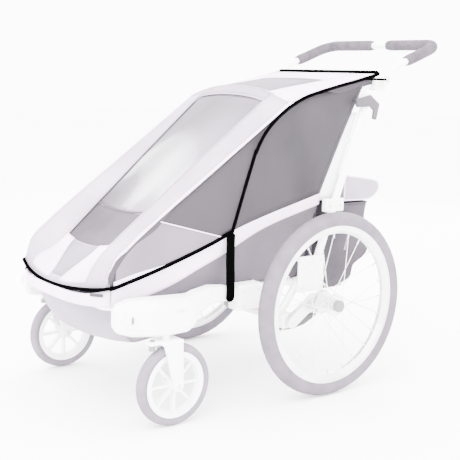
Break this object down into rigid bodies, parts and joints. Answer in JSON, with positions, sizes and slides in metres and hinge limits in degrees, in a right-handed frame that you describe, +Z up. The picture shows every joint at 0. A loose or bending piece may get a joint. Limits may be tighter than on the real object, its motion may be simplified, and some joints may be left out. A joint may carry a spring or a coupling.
{
  "type": "child bicycle trailer",
  "caption": "Folding child carrier in stroller trim: large spoked rear wheels, swivel front casters, fabric cabin with lift-up cover, rear bag and tilting handlebar.",
  "frame": {"origin": "middle of the whole object's footprint, on the ground", "axes": "+Z up; the front, with the casters, is towards -Y; the rider's left is +X"},
  "size_m": [0.693, 1.1358, 0.9453],
  "materials": {
    "fabric_pale": "coated polyester, satin",
    "fabric_grey": "woven polyester, matt",
    "mesh_dark": "dark mesh behind clear film",
    "film_clear": "clear flexible film",
    "webbing_black": "woven webbing and piping",
    "tube_white": "satin paint on alloy tube",
    "plastic_white": "moulded, satin",
    "plastic_grey": "moulded, satin",
    "alloy_bright": "turned and anodised",
    "rubber_grey": "matt tread",
    "foam_grey": "closed-cell foam sleeve"
  },
  "bodies": {
    "chassis": {"side_rail_left": "tube_white", "rear_leg_left": "tube_white", "caster_arm_left": "plastic_white", "arm_clamp_left": "plastic_white", "leaf_spring_left": "plastic_grey", "lower_side_left": "fabric_grey", "side_window_left": "mesh_dark", "side_strap_left": "webbing_black", "side_rail_right": "tube_white", "rear_leg_right": "tube_white", "caster_arm_right": "plastic_white", "arm_clamp_right": "plastic_white", "leaf_spring_right": "plastic_grey", "lower_side_right": "fabric_grey", "side_window_right": "mesh_dark", "side_strap_right": "webbing_black", "front_cross_tube": "tube_white", "axle_tube": "tube_white", "floor_tub": "fabric_grey", "seat_pad": "fabric_grey"},
    "brake": {"brake_pedal": "plastic_grey"},
    "suspension_left": {"swing_arm_left": "alloy_bright"},
    "rear_wheel_left": {"rear_tyre_left": "rubber_grey", "rear_rim_left": "alloy_bright", "rear_hub_and_spokes_left": "alloy_bright"},
    "axle_release_left": {"axle_button_left": "plastic_grey"},
    "caster_turn_left": {"caster_fork_left": "plastic_white"},
    "caster_roll_left": {"caster_tyre_left": "rubber_grey", "caster_wheel_left": "plastic_white"},
    "caster_knob_left": {"caster_lock_left": "plastic_grey"},
    "suspension_right": {"swing_arm_right": "alloy_bright"},
    "rear_wheel_right": {"rear_tyre_right": "rubber_grey", "rear_rim_right": "alloy_bright", "rear_hub_and_spokes_right": "alloy_bright"},
    "axle_release_right": {"axle_button_right": "plastic_grey"},
    "caster_turn_right": {"caster_fork_right": "plastic_white"},
    "caster_roll_right": {"caster_tyre_right": "rubber_grey", "caster_wheel_right": "plastic_white"},
    "caster_knob_right": {"caster_lock_right": "plastic_grey"},
    "canopy": {"canopy_tube_left": "tube_white", "canopy_tube_right": "tube_white", "bar_knuckle_left": "plastic_white", "bar_knuckle_right": "plastic_white", "roof_bow": "tube_white", "roof_cross_tube": "tube_white", "roof_panel": "fabric_pale"},
    "cover": {"front_cover": "fabric_pale", "front_window": "film_clear"},
    "handlebar": {"handlebar_tube": "tube_white", "grip_left": "foam_grey", "grip_right": "foam_grey"},
    "back_frame": {"upright_left": "tube_white", "upright_right": "tube_white", "back_cross_tube": "tube_white", "backrest_pad": "fabric_grey", "harness": "webbing_black", "cargo_bag": "fabric_grey"},
    "lid": {"bag_lid": "fabric_pale"},
    "latch_left": {"latch_lever_left": "plastic_grey"},
    "latch_right": {"latch_lever_right": "plastic_grey"}
  },
  "joints": [
    {"name": "brake_press", "type": "hinge", "parent": "chassis", "child": "brake", "pos_m": [0, 0.0086, 0.19], "axis": [1, 0, 0], "range_deg": [-25, 0]},
    {"name": "suspension_left", "type": "hinge", "parent": "chassis", "child": "suspension_left", "pos_m": [0.2455, 0.0086, 0.19], "axis": [1, 0, 0], "range_deg": [0, 10], "stiffness_Nm_per_rad": 60, "springref_deg": -8.59, "deforming": ["leaf_spring_left"]},
    {"name": "rear_wheel_spin_left", "type": "hinge", "parent": "suspension_left", "child": "rear_wheel_left", "pos_m": [0.313, 0.0866, 0.243], "axis": [1, 0, 0], "continuous": true},
    {"name": "button_push_left", "type": "slide", "parent": "rear_wheel_left", "child": "axle_release_left", "axis": [1, 0, 0], "range_m": [-0.004, 0], "stiffness_N_per_m": 500, "springref_m": 0.004},
    {"name": "caster_steer_left", "type": "hinge", "parent": "chassis", "child": "caster_turn_left", "pos_m": [0.271, -0.4054, 0.2], "axis": [0, 0, 1], "continuous": true},
    {"name": "caster_spin_left", "type": "hinge", "parent": "caster_turn_left", "child": "caster_roll_left", "pos_m": [0.271, -0.3824, 0.1], "axis": [1, 0, 0], "continuous": true},
    {"name": "lock_pull_left", "type": "slide", "parent": "caster_turn_left", "child": "caster_knob_left", "axis": [0, 0, 1], "range_m": [-0.004, 0], "stiffness_N_per_m": 400, "springref_m": 0.004},
    {"name": "suspension_right", "type": "hinge", "parent": "chassis", "child": "suspension_right", "pos_m": [-0.2455, 0.0086, 0.19], "axis": [1, 0, 0], "range_deg": [0, 10], "stiffness_Nm_per_rad": 60, "springref_deg": -8.59, "deforming": ["leaf_spring_right"]},
    {"name": "rear_wheel_spin_right", "type": "hinge", "parent": "suspension_right", "child": "rear_wheel_right", "pos_m": [-0.313, 0.0866, 0.243], "axis": [1, 0, 0], "continuous": true},
    {"name": "button_push_right", "type": "slide", "parent": "rear_wheel_right", "child": "axle_release_right", "axis": [-1, 0, 0], "range_m": [-0.004, 0], "stiffness_N_per_m": 500, "springref_m": 0.004},
    {"name": "caster_steer_right", "type": "hinge", "parent": "chassis", "child": "caster_turn_right", "pos_m": [-0.271, -0.4054, 0.2], "axis": [0, 0, 1], "continuous": true},
    {"name": "caster_spin_right", "type": "hinge", "parent": "caster_turn_right", "child": "caster_roll_right", "pos_m": [-0.271, -0.3824, 0.1], "axis": [1, 0, 0], "continuous": true},
    {"name": "lock_pull_right", "type": "slide", "parent": "caster_turn_right", "child": "caster_knob_right", "axis": [0, 0, 1], "range_m": [-0.004, 0], "stiffness_N_per_m": 400, "springref_m": 0.004},
    {"name": "frame_fold", "type": "hinge", "parent": "chassis", "child": "canopy", "pos_m": [0, -0.4984, 0.335], "axis": [1, 0, 0], "range_deg": [-27, 0], "deforming": ["side_window_left", "side_window_right", "lower_side_left", "lower_side_right", "cargo_bag"]},
    {"name": "back_fold", "type": "hinge", "parent": "canopy", "child": "back_frame", "pos_m": [0, 0.2766, 0.77], "axis": [1, 0, 0], "range_deg": [-41, 0]},
    {"name": "cover_lift", "type": "hinge", "parent": "canopy", "child": "cover", "pos_m": [0, -0.0004, 0.801], "axis": [1, 0, 0], "range_deg": [-70, 0]},
    {"name": "handlebar_tilt", "type": "hinge", "parent": "canopy", "child": "handlebar", "pos_m": [0, 0.3366, 0.825], "axis": [1, 0, 0], "range_deg": [-70, 110]},
    {"name": "bag_lid_open", "type": "hinge", "parent": "back_frame", "child": "lid", "pos_m": [0, 0.2466, 0.556], "axis": [1, 0, 0], "range_deg": [0, 60]},
    {"name": "latch_lift_left", "type": "hinge", "parent": "back_frame", "child": "latch_left", "pos_m": [0.23, 0.2766, 0.77], "axis": [1, 0, 0], "range_deg": [0, 20], "stiffness_Nm_per_rad": 1, "springref_deg": -14.32},
    {"name": "latch_lift_right", "type": "hinge", "parent": "back_frame", "child": "latch_right", "pos_m": [-0.23, 0.2766, 0.77], "axis": [1, 0, 0], "range_deg": [0, 20], "stiffness_Nm_per_rad": 1, "springref_deg": -14.32}
  ],
  "couplings": [
    {"joint": "back_fold", "follows": "frame_fold", "ratio": 1.493}
  ]
}
